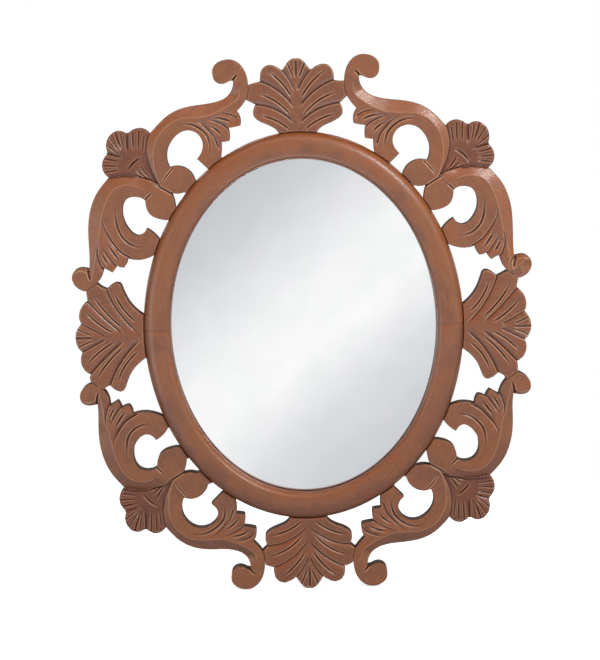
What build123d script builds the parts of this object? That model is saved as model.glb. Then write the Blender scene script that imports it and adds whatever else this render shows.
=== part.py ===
from build123d import *
import math
import os

# Oval wall mirror in a carved wooden frame.
# The frame is modelled lying on its back on the bench: x to the right, y to the top of the mirror
# and z from the flat back up to the carved front. The last step stands it upright.

# Oval ring that holds the glass
SIGHT_WIDTH = 302.0
SIGHT_HEIGHT = 382.0
RING_WIDTH = 30.5
RING_CREST_HEIGHT = 24.0
RING_CREST_INSET = 12.5
RING_EDGE_HEIGHT = 14.0
RING_SHOULDER_INSET = 23.3
RING_SHOULDER_HEIGHT = 20.2
LIP_HEIGHT = 7.5
LIP_ROUNDING = 1.9
LIP_FULLNESS = 0.6
REBATE_WIDTH = 8.0

# What lies in the rebate, from the back to the front
GLASS_THICKNESS = 4.0
SILVERING_THICKNESS = 0.3
BACKING_THICKNESS = 5.0
BACKING_RECESS = 0.2
STACK_GAP = 0.1
SEAT_GAP = 0.2
REBATE_EDGE_GAP = 0.75
SILVERING_EDGE = 0.5

# Carved border boards, glued and dowelled to the outside of the ring
BOARD_THICKNESS = 16.0
GLUE_GAP = 0.15
NEIGHBOUR_GAP = 0.25
PALMETTE_SINK = 4.5
ROOT_DEPTH = 7.0

# Wooden joints
DOWEL_RADIUS = 3.0
DOWEL_HEIGHT = 8.0
DOWEL_IN_RING = 11.0
DOWEL_IN_BOARD = 12.0
DOWEL_FIT = 0.1
DOWEL_END_GAP = 0.5
TONGUE_LENGTH = 20.0
TONGUE_WIDTH = 14.0
TONGUE_THICKNESS = 4.0
TONGUE_HEIGHT = 14.0
TONGUE_INSET = 18.0
TONGUE_FIT = 0.1

# Turn buttons that hold the backing board
BUTTON_COUNT = 8
BUTTON_LENGTH = 20.0
BUTTON_END_RADIUS = 4.0
BUTTON_THICKNESS = 1.2
BUTTON_PIVOT_INSET = 17.0
BUTTON_LIFT = 0.1
PIVOT_FIT = 0.06

# Screws
SCREW_RADIUS = 1.6
SCREW_HEAD_RADIUS = 3.2
SCREW_HEAD_HEIGHT = 1.5
SCREW_DEPTH = 9.0
SCREW_FIT = 0.05
SCREW_END_GAP = 0.5
SCREW_HEAD_BEVEL = 0.5
DRIVE_SLOT_WIDTH = 0.8
DRIVE_SLOT_DEPTH = 0.7

# Hanger at the top of the back: a strap plate and the ring that swings in its eye
STRAP_WIDTH = 14.0
STRAP_LENGTH = 36.0
STRAP_THICKNESS = 1.0
HANGER_WIRE_RADIUS = 1.2
HANGER_RING_WIDTH = 21.0
HANGER_CORNER_RADIUS = 3.0
HANGER_FIT = 0.08
HANGER_LIFT = 0.2
HANGER_HINGE_ABOVE_RING = 40.0
STRAP_SCREW_DISTANCES = (8.0, 27.0)

# Rubber bumpers low on the back
BUMPER_RADIUS = 5.0
BUMPER_THICKNESS = 5.5
BUMPER_BEVEL = 0.8
BUMPER_BEARINGS = (-45.0, -135.0)
BUMPER_INSET = 19.0

# Worked out from the sizes above
SIGHT_X = SIGHT_WIDTH / 2
SIGHT_Y = SIGHT_HEIGHT / 2
OUTER_X = SIGHT_X + RING_WIDTH
OUTER_Y = SIGHT_Y + RING_WIDTH
REBATE_DEPTH = (
    BACKING_RECESS + BACKING_THICKNESS + STACK_GAP + SILVERING_THICKNESS + GLASS_THICKNESS + SEAT_GAP
)
LIP_FRONT = REBATE_DEPTH + LIP_HEIGHT
BUTTON_BEARINGS = [(turn + 0.5) * 360 / BUTTON_COUNT for turn in range(BUTTON_COUNT)]
HINGE_Y = OUTER_Y + HANGER_HINGE_ABOVE_RING
EYE_RADIUS = HANGER_WIRE_RADIUS + HANGER_FIT + STRAP_THICKNESS
HINGE_HEIGHT = EYE_RADIUS + HANGER_LIFT

# The carving pattern below is drawn against a ring with these outer half sizes, in its upper
# right quarter, and is stretched with the ring when the ring's size is changed.
PATTERN_RING_X = 181.5
PATTERN_RING_Y = 221.5

CORNERS = {
    "upper_right": (1, 1),
    "upper_left": (-1, 1),
    "lower_left": (-1, -1),
    "lower_right": (1, -1),
}

# The four corners are carved by hand from one pattern, and each strays from it by a few
# millimetres. The straying is given at six stations of the pattern and blended between them.
STATIONS = {
    "top volute": (76, 290),
    "shoulder": (140, 247),
    "leaf tips": (80, 222),
    "palmette": (197, 208),
    "upper inner volute": (130, 180),
    "lower inner volute": (158, 142),
    "side bend": (234, 135),
    "side leaf": (200, 85),
    "side volute": (247, 68),
}
STATION_REACH = 15.0
STRAY = {
    "upper_right": {},
    "upper_left": {
        "top volute": (4, -2.5),
        "shoulder": (1.5, -0.5),
        "leaf tips": (4, 0.5),
        "palmette": (3.5, -1),
        "upper inner volute": (3, -1),
        "lower inner volute": (2.5, -4),
        "side bend": (2, -1),
        "side leaf": (1, -5),
        "side volute": (1, -3.5),
    },
    "lower_right": {
        "top volute": (-1, -2.5),
        "shoulder": (-1, 0),
        "palmette": (-3.5, 1),
        "upper inner volute": (-1.5, 5),
        "lower inner volute": (0, 2.5),
        "side bend": (-1.5, 0),
        "side leaf": (-3, 3),
        "side volute": (-2, 6),
    },
    "lower_left": {
        "top volute": (-0.5, -2),
        "shoulder": (1, 4),
        "leaf tips": (-1, 2.5),
        "palmette": (-2, 6),
        "upper inner volute": (-1, 8),
        "lower inner volute": (0, 4.5),
        "side bend": (-1, 3),
        "side leaf": (1.5, 6),
        "side volute": (-2.5, 7),
    },
}

# Edges that two boards share: the neck of the top scroll against the top or bottom shell, and
# the small volute against a side shell
NECK_CONTACT = [(51.8, 277), (52.3, 268), (54.5, 260)]
VOLUTE_CONTACT = [(244, 51), (238, 55.5), (231.5, 60)]

# Outline of a corner board, as strokes from one corner point to the next
CORNER_OUTLINE = [
    [(52.3, 268), (51.8, 277), (54.5, 291), (60.5, 300.5), (69, 305.5), (77, 305.8), (85, 303),
     (90.3, 297), (91, 290), (88.8, 283), (83, 279.3), (76.5, 280), (71.5, 282.3), (68.4, 282.4)],
    [(68.8, 276), (72, 269), (79, 262), (89, 257.7), (101, 255.3), (113, 254), (126, 251.8),
     (138, 247.8), (149, 240.7), (158, 232), (165, 224)],
    [(170, 228.8), (177.5, 230.6), (185, 228), (189.8, 223.5)],
    [(195, 227.2), (201.5, 227.8), (209, 223), (213, 214), (211, 203)],
    [(216.5, 197.5), (218.7, 190), (217, 182.3), (212, 176.8)],
    [(219, 169.5), (227, 159.5), (233.5, 146), (237.5, 130), (238.8, 113), (238.8, 95), (239.8, 76)],
    [(244.5, 77), (250.5, 77.5), (256.5, 74.5), (259.4, 68), (257.8, 60), (252, 54), (244, 51)],
    [(238, 55.5), (231.5, 60)],
    [(227.2, 66), (224.8, 72), (223.3, 78)],
    [(218, 75.5), (213.5, 73)],
    [(210.5, 77), (208.5, 81.5)],
    [(204.5, 79.3), (200, 78.7)],
    [(197.3, 83), (196, 89)],
    [(189, 87.3), (180.5, 87), (172, 88.8), (164, 92)],
    [(164 - ROOT_DEPTH, 93)],
    [(157 - ROOT_DEPTH, 106)],
    [(157.5, 107)],
    [(164.5, 115.8), (172, 121)],
    [(175.3, 116.3), (181, 113.5), (187, 115), (193.5, 121.5), (198, 130.5), (199, 140),
     (197, 148.5), (191, 154.8), (183, 156.5), (176.5, 155.5), (172, 152.3)],
    [(171.4, 146), (168, 138), (160, 132.6), (146, 130)],
    [(146 - ROOT_DEPTH, 130)],
    [(137.5 - ROOT_DEPTH, 142)],
    [(138.3, 143.5)],
    [(139.5, 152), (142, 159.3)],
    [(136, 157.8), (128, 158.5)],
    [(128 - ROOT_DEPTH, 156)],
    [(114 - ROOT_DEPTH, 169)],
    [(115, 171)],
    [(118.5, 178.8), (125, 184.8), (134, 187.6), (143, 186.3)],
    [(145.7, 194), (146, 202.5), (143, 212), (136.5, 220.5), (128, 225.7), (119, 226.2),
     (110, 221.8), (105.2, 214.3), (104.8, 206.5), (107.5, 200.3), (112, 195)],
    [(107, 190.2), (100, 183.5)],
    [(98 - ROOT_DEPTH, 180)],
    [(86 - ROOT_DEPTH, 189)],
    [(84.4, 195)],
    [(83.3, 203), (83.3, 211.7)],
    [(79, 212), (74, 213)],
    [(73.6, 220), (75, 227.3)],
    [(69, 228), (61.5, 229.8)],
    [(61, 236.5), (65, 246)],
    [(59.5, 252.5), (54.5, 260)],
]

# Field between the two scrolls where the palmette is sunk; the outer points lie off the board
PALMETTE_FIELD = [
    [(166, 173.4), (181, 177.3), (196, 178.3), (212, 176.8)],
    [(240, 176)],
    [(240, 250)],
    [(166, 250)],
    [(165, 224)],
    [(167.6, 214), (168, 203), (165.2, 190), (160.5, 178), (154, 167)],
]

# Right half of the top shell, from the middle of its rim to the neck of the scroll beside it,
# and from there to its root
TOP_SHELL_MIDDLE = (0, 303)
TOP_SHELL_RIM = [
    [(6, 301.8), (11, 297), (16, 290.3)],
    [(22, 294.3), (30, 296.8), (37, 294.3), (40.6, 287.5), (41, 279)],
    [(46, 278)],
]
TOP_SHELL_FLANK = [
    [(47, 253.5)],
    [(49.8, 247.5), (49.2, 240.8), (45, 236.3), (34, 230.7), (22, 222)],
    [(20, 222 - ROOT_DEPTH)],
]

# Upper half of a side shell, with its heights measured from its own middle line
SIDE_SHELL_MIDDLE = (258.3, 0)
SIDE_SHELL_RIM = [
    [(257.5, 6), (255, 11.5), (251, 16.5)],
    [(252.8, 26), (249.3, 36), (242, 42)],
    [(242.8, 48)],
]
SIDE_SHELL_FLANK = [
    [(226, 58.3), (220, 55.5)],
    [(214, 60.3), (207.5, 62.3), (203.2, 59)],
    [(200, 50), (195, 40), (188, 31.5), (179, 24.5)],
    [(179 - ROOT_DEPTH, 24.5)],
]

# How far each shell strays sideways and outwards from the pattern, at its middle line and at the
# ends of its flanks
SHELL_HALF_SPAN = 60.0
SHELL_STRAY = {
    "top": [(-2, 0), (-0.5, -1)],
    "bottom": [(0, 2), (0, -1)],
    "right": [(-4, 0), (-1.5, 0)],
    "left": [(-6, 1), (-6, 2)],
}

# Where the dowels cross the outer edge of the ring: one in each foot of a corner board, and one in
# each half of a shell
CORNER_DOWELS = [(95, 188.5), (121.5, 164.5), (143, 136.5), (161.5, 100.5)]
TOP_SHELL_DOWEL = (14, 221)
SIDE_SHELL_DOWEL = (181, 17)

# Carved cuts, each an arc from start through middle to end. A gouge tapers out at both ends; a
# crease is deepest at its start, which is at the rim of the board.
GOUGE_DEPTH = 2.0
CREASE_DEPTH = 2.8
CUT_HALF_ANGLE = 50.0
CUT_RUN_OUT = 0.15
CREASE_MIDDLE = 0.75
RIM_OVERRUN = 2.0

# Sloping facets along the outer edges of the two scrolls, widest in the middle of their arcs,
# which run just outside the outline
FACET_DEPTH = 4.0
FACET_HALF_ANGLE = 70.0
CORNER_FACETS = [
    [(97, 258.5), (139.5, 250), (168, 224)],
    [(216, 177), (237, 141), (239.5, 88)],
]

CORNER_GOUGES = [
    [(97, 201), (106, 226.5), (139, 232.5)],
    [(68, 233), (82, 239.5), (102, 240.5)],
    [(78, 216), (88, 229.5), (103, 236.5)],
    [(88.5, 206), (93, 222), (107, 236)],
    [(206.5, 149), (201, 114), (172, 102)],
    [(202, 86), (212, 98), (219, 113)],
    [(213, 80), (220, 91), (224, 106)],
    [(205, 97), (215, 113), (220, 131)],
]
CORNER_CREASES = [
    [(65, 246), (82, 247.5), (104, 243)],
    [(68.4, 282.4), (65, 286.5), (61.5, 291.5)],
    [(143, 186.5), (146.5, 178.5), (152, 170)],
    [(172, 152.3), (167.5, 157.5), (162, 161.5)],
    [(142, 159.3), (148, 163), (157, 169.5)],
    [(239.8, 76), (240, 69), (237.5, 63)],
]
PALMETTE_GOUGES = [
    [(171, 198.5), (182, 193.5), (190.5, 182.5)],
]
PALMETTE_CREASES = [
    [(189.8, 223.5), (187.5, 211), (184, 200)],
    [(211, 203), (200, 200.5), (190, 195.5)],
]
TOP_SHELL_CREASES = [
    [(16, 290.3), (7.5, 279), (1.5, 267)],
    [(41, 279), (20.5, 267.5), (2, 249)],
    [(47, 253.5), (23, 246.5), (3, 231)],
]
TOP_SHELL_GOUGES = [
    [(9, 296), (6.5, 290), (5, 283)],
    [(34, 291), (18, 278), (4, 259)],
    [(47, 266), (25, 257), (6.5, 240)],
    [(45, 241.5), (25, 235.5), (8, 224)],
]
TOP_SHELL_CENTRE_GOUGE = [(0, 300), (0, 290), (0, 279)]
SIDE_SHELL_CREASES = [
    [(251, 16.5), (238, 9.5), (224, 1.5)],
    [(242, 42), (224, 22.5), (204, 3.5)],
    [(220, 55.5), (208, 30), (185, 3)],
]
SIDE_SHELL_GOUGES = [
    [(254, 10), (248.5, 7), (242, 4.5)],
    [(246, 32), (234, 18.5), (215, 5)],
    [(237, 51), (224, 31), (204, 10)],
    [(212, 54), (204, 35), (188, 17)],
]
SIDE_SHELL_CENTRE_GOUGE = [(256, 0), (247, 0), (236, 0)]


def stretched(x, y):
    """Carry a point drawn against the pattern's ring to this ring."""
    return Vector(x * OUTER_X / PATTERN_RING_X, y * OUTER_Y / PATTERN_RING_Y)


def stray_at(corner, x, y):
    """Blend the straying of a corner's stations at a point of the pattern."""
    total = 0.0
    shift_x = 0.0
    shift_y = 0.0
    for station, (station_x, station_y) in STATIONS.items():
        distance_squared = (x - station_x) ** 2 + (y - station_y) ** 2
        weight = 1 / (distance_squared + STATION_REACH ** 2) ** 2
        stray_x, stray_y = STRAY[corner].get(station, (0, 0))
        total += weight
        shift_x += weight * stray_x
        shift_y += weight * stray_y
    return shift_x / total, shift_y / total


def on_corner(corner):
    """Return the function that carries a pattern point to one of the four corners."""
    side, rise = CORNERS[corner]

    def place(point):
        shift_x, shift_y = stray_at(corner, *point)
        return stretched(side * (point[0] + shift_x), rise * (point[1] + shift_y))

    return place


def on_shell(shell, half):
    """Return the function that carries a point of a shell's drawn half to one of its halves."""
    upright = shell in ("top", "bottom")
    middle_stray, flank_stray = SHELL_STRAY[shell]

    def place(point):
        share = (point[0] if upright else point[1]) / SHELL_HALF_SPAN
        across = middle_stray[0] + share * (flank_stray[0] - middle_stray[0])
        out = middle_stray[1] + share * (flank_stray[1] - middle_stray[1])
        if upright:
            rise = 1 if shell == "top" else -1
            return stretched(half * point[0] + across, rise * (point[1] + out))
        side = 1 if shell == "right" else -1
        return stretched(side * (point[0] + out), half * point[1] + across)

    return place


def stroke(points):
    """Draw one smooth stroke, or a straight cut where there are only two points."""
    if len(points) == 2:
        return Line(*points)
    return Spline(*points)


def chain(start, strokes):
    """Give each stroke the end of the one before it as its first point."""
    runs = []
    for points in strokes:
        runs.append([start] + points)
        start = points[-1]
    return runs


def placed(strokes, place):
    return [[place(point) for point in points] for points in strokes]


def closed_face(strokes, place):
    """Join strokes end to end into a closed face."""
    run_ends = placed(strokes, place)
    return make_face([stroke(run) for run in chain(run_ends[-1][-1], run_ends)])


def half_shell(shell, half):
    """Runs of points from the middle of a shell's rim round one half to its root."""
    place = on_shell(shell, half)
    if shell in ("top", "bottom"):
        middle, rim, flank = TOP_SHELL_MIDDLE, TOP_SHELL_RIM, TOP_SHELL_FLANK
        side, rise = half, 1 if shell == "top" else -1
        shared, clear = NECK_CONTACT, Vector(-side * NEIGHBOUR_GAP, 0)
    else:
        middle, rim, flank = SIDE_SHELL_MIDDLE, SIDE_SHELL_RIM, SIDE_SHELL_FLANK
        side, rise = 1 if shell == "right" else -1, half
        shared, clear = VOLUTE_CONTACT, Vector(0, -rise * NEIGHBOUR_GAP)
    corner = next(name for name, signs in CORNERS.items() if signs == (side, rise))
    meet = on_corner(corner)
    contact = [meet(point) + clear for point in shared]
    strokes = placed(rim, place)
    strokes[-1].append(contact[0])
    strokes += [contact[1:]] + placed(flank, place)
    return chain(place(middle), strokes)


def shell_edges(shell):
    one_half = half_shell(shell, 1)
    other_half = [list(reversed(run)) for run in reversed(half_shell(shell, -1))]
    root = [[one_half[-1][-1], other_half[0][0]]]
    return [stroke(run) for run in one_half + root + other_half]


def cut(points, surface, depth, open_start=False, half_angle=CUT_HALF_ANGLE):
    """Solid V cut along an arc: it leaves the surface at its ends, or is deep at an open start."""
    start, middle, end = points
    run_out = surface + CUT_RUN_OUT
    if open_start:
        start = start + (start - middle).normalized() * RIM_OVERRUN
    start_level = surface - depth if open_start else run_out
    middle_level = surface - (CREASE_MIDDLE * depth if open_start else depth)
    path = ThreePointArc(
        Vector(start.X, start.Y, start_level),
        Vector(middle.X, middle.Y, middle_level),
        Vector(end.X, end.Y, run_out),
    )
    tangent = path % 0
    section_plane = Plane(path @ 0, x_dir=Vector(0, 0, 1).cross(tangent), z_dir=tangent)
    height = 2 * depth
    half_width = height * math.tan(math.radians(half_angle))
    section = make_face(
        Polyline((0, 0), (half_width, height), (-half_width, height), close=True)
    )
    return sweep(section_plane * section, path=path)


def rod(radius, start, end):
    """Round rod along z from one height to another."""
    return Pos(0, 0, (start + end) / 2) * Cylinder(radius, end - start)


def oval(margin, height, base=0.0):
    """Solid oval block that stands a margin outside the sight edge."""
    return Pos(0, 0, base) * extrude(Ellipse(SIGHT_X + margin, SIGHT_Y + margin), height)


def ring_blank():
    """Space that the ring takes, with the glue gap of the boards round it."""
    return oval(RING_WIDTH + GLUE_GAP, BOARD_THICKNESS)


def corner_board(corner):
    place = on_corner(corner)
    board = extrude(closed_face(CORNER_OUTLINE, place), BOARD_THICKNESS)
    floor = BOARD_THICKNESS - PALMETTE_SINK
    board -= Pos(0, 0, floor) * extrude(closed_face(PALMETTE_FIELD, place), PALMETTE_SINK)
    cuts = [cut(points, BOARD_THICKNESS, GOUGE_DEPTH) for points in placed(CORNER_GOUGES, place)]
    cuts += [
        cut(points, BOARD_THICKNESS, CREASE_DEPTH, True) for points in placed(CORNER_CREASES, place)
    ]
    cuts += [
        cut(points, BOARD_THICKNESS, FACET_DEPTH, half_angle=FACET_HALF_ANGLE)
        for points in placed(CORNER_FACETS, place)
    ]
    cuts += [cut(points, floor, GOUGE_DEPTH) for points in placed(PALMETTE_GOUGES, place)]
    cuts += [cut(points, floor, CREASE_DEPTH, True) for points in placed(PALMETTE_CREASES, place)]
    return board - ring_blank() - cuts - dowels(corner_dowel_points(corner), True)


def shell_board(shell):
    board = extrude(make_face(shell_edges(shell)), BOARD_THICKNESS)
    if shell in ("top", "bottom"):
        creases, gouges, centre = TOP_SHELL_CREASES, TOP_SHELL_GOUGES, TOP_SHELL_CENTRE_GOUGE
    else:
        creases, gouges, centre = SIDE_SHELL_CREASES, SIDE_SHELL_GOUGES, SIDE_SHELL_CENTRE_GOUGE
    cuts = [cut(placed([centre], on_shell(shell, 1))[0], BOARD_THICKNESS, GOUGE_DEPTH)]
    for half in (1, -1):
        place = on_shell(shell, half)
        cuts += [
            cut(points, BOARD_THICKNESS, CREASE_DEPTH, True) for points in placed(creases, place)
        ]
        cuts += [cut(points, BOARD_THICKNESS, GOUGE_DEPTH) for points in placed(gouges, place)]
    board = board - ring_blank() - cuts - dowels(shell_dowel_points(shell), True)
    return board - strap_screws(True) if shell == "top" else board


def corner_dowel_points(corner):
    return [on_corner(corner)(point) for point in CORNER_DOWELS]


def shell_dowel_points(shell):
    point = TOP_SHELL_DOWEL if shell in ("top", "bottom") else SIDE_SHELL_DOWEL
    return [on_shell(shell, half)(point) for half in (1, -1)]


def all_dowel_points():
    points = []
    for corner in CORNERS:
        points += corner_dowel_points(corner)
    for shell in SHELL_STRAY:
        points += shell_dowel_points(shell)
    return points


def dowels(points, holes=False):
    """Dowels square to the ring's outer edge where it passes each point, or their holes."""
    fit, end_gap = (DOWEL_FIT, DOWEL_END_GAP) if holes else (0, 0)
    plain = rod(DOWEL_RADIUS + fit, -DOWEL_IN_RING - end_gap, DOWEL_IN_BOARD + end_gap)
    rods = []
    for point in points:
        turn = math.atan2(point.Y / OUTER_Y, point.X / OUTER_X)
        edge = Vector(OUTER_X * math.cos(turn), OUTER_Y * math.sin(turn), DOWEL_HEIGHT)
        normal = Vector(edge.X / OUTER_X ** 2, edge.Y / OUTER_Y ** 2)
        rods.append(Plane(edge, x_dir=(0, 0, -1), z_dir=normal) * plain)
    return rods


def tongues(slots=False):
    """Loose tongues across the four joints of the ring, or the slots they lie in."""
    fit = 2 * TONGUE_FIT if slots else 0
    length, width, thickness = TONGUE_LENGTH + fit, TONGUE_WIDTH + fit, TONGUE_THICKNESS + fit
    reach_x = SIGHT_X + TONGUE_INSET
    reach_y = SIGHT_Y + TONGUE_INSET
    return [
        Pos(reach_x, 0, TONGUE_HEIGHT) * Box(width, length, thickness),
        Pos(-reach_x, 0, TONGUE_HEIGHT) * Box(width, length, thickness),
        Pos(0, reach_y, TONGUE_HEIGHT) * Box(length, width, thickness),
        Pos(0, -reach_y, TONGUE_HEIGHT) * Box(length, width, thickness),
    ]


def ring_quarter():
    """Upper right quarter of the ring: its crowned section swept along the sight edge."""
    path = EllipticalCenterArc((0, 0), SIGHT_X, SIGHT_Y, start_angle=0, arc_size=90)
    lip = Vector(0, LIP_FRONT - LIP_ROUNDING)
    crest = Vector(RING_CREST_INSET, RING_CREST_HEIGHT)
    shoulder = Vector(RING_SHOULDER_INSET, RING_SHOULDER_HEIGHT)
    edge = Vector(RING_WIDTH, RING_EDGE_HEIGHT)
    beyond_edge = edge + (edge - shoulder).normalized()
    bulge = Vector(RING_CREST_INSET / 3, (LIP_FRONT + RING_CREST_HEIGHT) / 2 + LIP_FULLNESS)
    section = make_face([
        Line((0, 0), lip),
        ThreePointArc(lip, bulge, crest),
        Spline(crest, shoulder, edge, beyond_edge, tangents=[(1, 0), (1, -2)]),
        Line(beyond_edge, (beyond_edge.X, 0)),
        Line((beyond_edge.X, 0), (0, 0)),
    ])
    quarter = sweep(Plane((SIGHT_X, 0, 0), x_dir=(1, 0, 0), z_dir=(0, -1, 0)) * section, path=path)
    quarter &= oval(RING_WIDTH, RING_CREST_HEIGHT)
    return quarter - oval(REBATE_WIDTH, REBATE_DEPTH)


def on_back(bearing, inset):
    """Plane on the flat back at a bearing, with x pointing out of the oval and z to the rear."""
    turn = math.radians(bearing)
    half_x, half_y = SIGHT_X + inset, SIGHT_Y + inset
    point = Vector(half_x * math.cos(turn), half_y * math.sin(turn))
    normal = Vector(point.X / half_x ** 2, point.Y / half_y ** 2)
    return Plane(point, x_dir=normal, z_dir=(0, 0, -1))


def screw(seat):
    """Slotted screw in the flat back, whose head bears at the seat height behind it."""
    top = seat + SCREW_HEAD_HEIGHT
    head = rod(SCREW_HEAD_RADIUS, seat, top)
    head = chamfer(head.edges().sort_by(Axis.Z)[-1], SCREW_HEAD_BEVEL)
    slot = Pos(0, 0, top) * Box(2 * SCREW_HEAD_RADIUS, DRIVE_SLOT_WIDTH, 2 * DRIVE_SLOT_DEPTH)
    return head + rod(SCREW_RADIUS, -SCREW_DEPTH, seat) - slot


def screw_hole():
    return rod(SCREW_RADIUS + SCREW_FIT, -SCREW_DEPTH - SCREW_END_GAP, STRAP_THICKNESS)


def turn_button():
    """Flat plate with round ends that turns about a screw near its outer end."""
    centres = BUTTON_LENGTH - 2 * BUTTON_END_RADIUS
    plate = Pos(-centres / 2, 0, BUTTON_LIFT) * extrude(
        SlotCenterToCenter(centres, 2 * BUTTON_END_RADIUS), BUTTON_THICKNESS
    )
    return plate - rod(SCREW_RADIUS + PIVOT_FIT, 0, 2 * BUTTON_THICKNESS)


def button_screws():
    seat = 2 * BUTTON_LIFT + BUTTON_THICKNESS
    return [on_back(bearing, BUTTON_PIVOT_INSET) * screw(seat) for bearing in BUTTON_BEARINGS]


def button_screw_holes():
    return [on_back(bearing, BUTTON_PIVOT_INSET) * screw_hole() for bearing in BUTTON_BEARINGS]


def hinge_plane():
    """Plane on the back under the hanger's hinge, with x to the left, y up and z to the rear."""
    return Plane((0, HINGE_Y, 0), x_dir=(-1, 0, 0), z_dir=(0, 0, -1))


def strap_screws(holes=False):
    pieces = []
    for distance in STRAP_SCREW_DISTANCES:
        piece = screw_hole() if holes else screw(STRAP_THICKNESS)
        pieces.append(hinge_plane() * Pos(0, -distance, 0) * piece)
    return pieces


def hanger_strap():
    """Strap plate with a round lower end and an eye rolled at its upper end."""
    end_radius = STRAP_WIDTH / 2
    straight = STRAP_LENGTH - end_radius
    plate = Pos(0, -straight / 2) * Rectangle(STRAP_WIDTH, straight)
    plate += Pos(0, -straight) * Circle(end_radius)
    strap = extrude(plate, STRAP_THICKNESS)
    across = Plane((-STRAP_WIDTH / 2, 0, HINGE_HEIGHT), x_dir=(0, 1, 0), z_dir=(1, 0, 0))
    strap += across * extrude(Circle(EYE_RADIUS), STRAP_WIDTH)
    strap -= across * extrude(Circle(EYE_RADIUS - STRAP_THICKNESS), STRAP_WIDTH)
    return hinge_plane() * strap - strap_screws(True)


def hanger_ring():
    """D ring of round wire, standing up from the eye as it hangs on its hook."""
    half = HANGER_RING_WIDTH / 2
    corner = HANGER_CORNER_RADIUS
    bar_end = half - corner
    path = Wire([
        Line((-bar_end, 0), (bar_end, 0)),
        CenterArc((bar_end, corner), corner, -90, 90),
        CenterArc((0, corner), half, 0, 180),
        CenterArc((-bar_end, corner), corner, 180, 90),
    ])
    wire = sweep(Plane((-bar_end, 0, 0), z_dir=(1, 0, 0)) * Circle(HANGER_WIRE_RADIUS), path=path)
    return hinge_plane() * Pos(0, 0, HINGE_HEIGHT) * wire


def bumper():
    pad = rod(BUMPER_RADIUS, 0, BUMPER_THICKNESS)
    return chamfer(pad.edges().sort_by(Axis.Z)[-1], BUMPER_BEVEL)


def ring_pieces():
    """The four quarters of the ring, with their tongue slots and their dowel and screw holes."""
    plain = ring_quarter()
    bores = tongues(True) + dowels(all_dowel_points(), True) + button_screw_holes()
    quarters = {}
    for corner, (side, rise) in CORNERS.items():
        quarter = plain if side > 0 else mirror(plain, about=Plane.YZ)
        quarter = quarter if rise > 0 else mirror(quarter, about=Plane.XZ)
        quarters[f"ring_{corner}"] = quarter - bores
    return quarters


def glazing():
    """What lies in the rebate: the glass, its silvering and the backing board."""
    inset = REBATE_WIDTH - REBATE_EDGE_GAP
    silvering_back = BACKING_RECESS + BACKING_THICKNESS + STACK_GAP
    glass_back = silvering_back + SILVERING_THICKNESS
    return {
        "mirror_glass": oval(inset, GLASS_THICKNESS, glass_back),
        "mirror_silvering": oval(inset - SILVERING_EDGE, SILVERING_THICKNESS, silvering_back),
        "backing_board": oval(inset, BACKING_THICKNESS, BACKING_RECESS),
    }


def all_pieces():
    pieces = ring_pieces()
    pieces["joint_tongues"] = Compound(tongues())
    for corner in CORNERS:
        pieces[f"corner_{corner}"] = corner_board(corner)
    for shell in SHELL_STRAY:
        pieces[f"{shell}_shell"] = shell_board(shell)
    pieces["frame_dowels"] = Compound(dowels(all_dowel_points()))
    pieces.update(glazing())
    for number, bearing in enumerate(BUTTON_BEARINGS, start=1):
        pieces[f"turn_button_{number}"] = on_back(bearing, BUTTON_PIVOT_INSET) * turn_button()
    pieces["button_screws"] = Compound(button_screws())
    pieces["hanger_strap"] = hanger_strap()
    pieces["hanger_ring"] = hanger_ring()
    pieces["hanger_screws"] = Compound(strap_screws())
    pieces["wall_bumpers"] = Compound(
        [on_back(bearing, BUMPER_INSET) * bumper() for bearing in BUMPER_BEARINGS]
    )
    return pieces


if __name__ == "__main__":
    os.makedirs("parts", exist_ok=True)
    for name, piece in all_pieces().items():
        export_step(Plane.XZ * piece, f"parts/{name}.step")
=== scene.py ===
# %% [markdown]
# An oval wall mirror hangs in a wooden frame that a carver cut by hand. A crowned oval ring holds the
# glass, four shells sit at its top, bottom and sides, and a pierced board of scrolls fills each
# corner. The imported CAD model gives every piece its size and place. This lesson dresses it: the
# boards get their carving, the wood its stain and lacquer, and the glass its silver.

# %% Load the frame
import math

import bmesh
import bpy
import numpy as np
from mathutils import Matrix, Quaternion, Vector
from mathutils.bvhtree import BVHTree


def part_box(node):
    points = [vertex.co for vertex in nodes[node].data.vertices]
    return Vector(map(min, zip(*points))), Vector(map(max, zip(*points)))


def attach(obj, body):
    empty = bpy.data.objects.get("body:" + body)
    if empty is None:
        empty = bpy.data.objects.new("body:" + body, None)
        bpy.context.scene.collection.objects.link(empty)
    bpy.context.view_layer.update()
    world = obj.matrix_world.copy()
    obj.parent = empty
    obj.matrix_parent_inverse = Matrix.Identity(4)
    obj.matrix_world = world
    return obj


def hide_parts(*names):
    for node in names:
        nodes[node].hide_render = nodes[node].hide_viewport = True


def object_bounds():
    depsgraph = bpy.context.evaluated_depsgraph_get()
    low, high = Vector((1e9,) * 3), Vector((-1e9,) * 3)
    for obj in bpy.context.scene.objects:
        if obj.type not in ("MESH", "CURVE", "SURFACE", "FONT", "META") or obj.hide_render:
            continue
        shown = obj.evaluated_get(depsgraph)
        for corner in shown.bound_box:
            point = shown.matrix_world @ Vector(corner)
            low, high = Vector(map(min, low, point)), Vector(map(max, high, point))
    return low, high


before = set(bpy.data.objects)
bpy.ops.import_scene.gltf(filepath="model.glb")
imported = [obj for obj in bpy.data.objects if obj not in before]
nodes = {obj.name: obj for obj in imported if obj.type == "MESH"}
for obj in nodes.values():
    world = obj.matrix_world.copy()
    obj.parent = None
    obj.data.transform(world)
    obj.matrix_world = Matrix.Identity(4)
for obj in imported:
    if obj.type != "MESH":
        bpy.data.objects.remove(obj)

cad_low, cad_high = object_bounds()
print("CAD nodes:", len(nodes), "size in mm:", [round(1000 * side) for side in cad_high - cad_low])

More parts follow.
